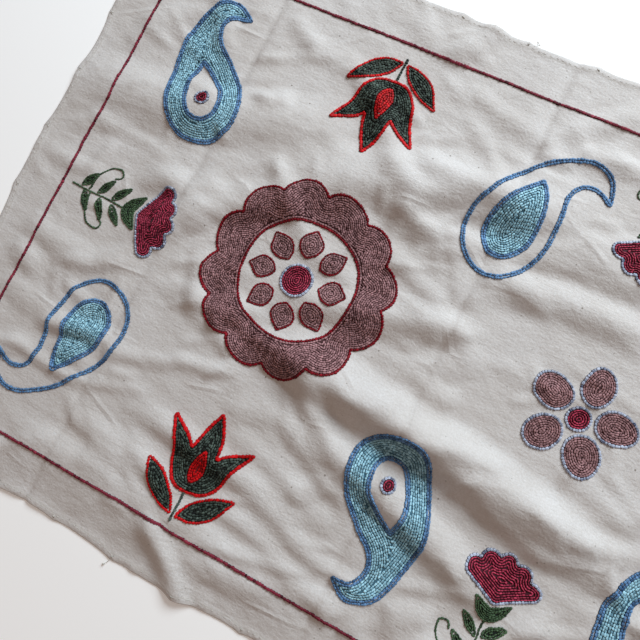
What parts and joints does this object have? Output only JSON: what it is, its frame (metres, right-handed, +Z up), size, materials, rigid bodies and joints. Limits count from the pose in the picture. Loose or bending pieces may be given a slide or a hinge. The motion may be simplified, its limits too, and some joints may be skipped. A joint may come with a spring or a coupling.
{
  "type": "embroidered cotton wall hanging",
  "caption": "Cotton wall hanging with a narrow turned hem and chain-stitch embroidery, lying loosely face up in soft folds.",
  "frame": {"origin": "on the surface that the cloth lies on, under the middle of the cloth", "axes": "+X along the cloth's long side, +Y towards its top edge, +Z up, out of the embroidered face"},
  "size_m": [1.0071, 0.527, 0.015],
  "materials": {
    "cotton": "unbleached plain-weave cotton, matt"
  },
  "bodies": {
    "root": {"cloth": "cotton"}
  },
  "joints": []
}
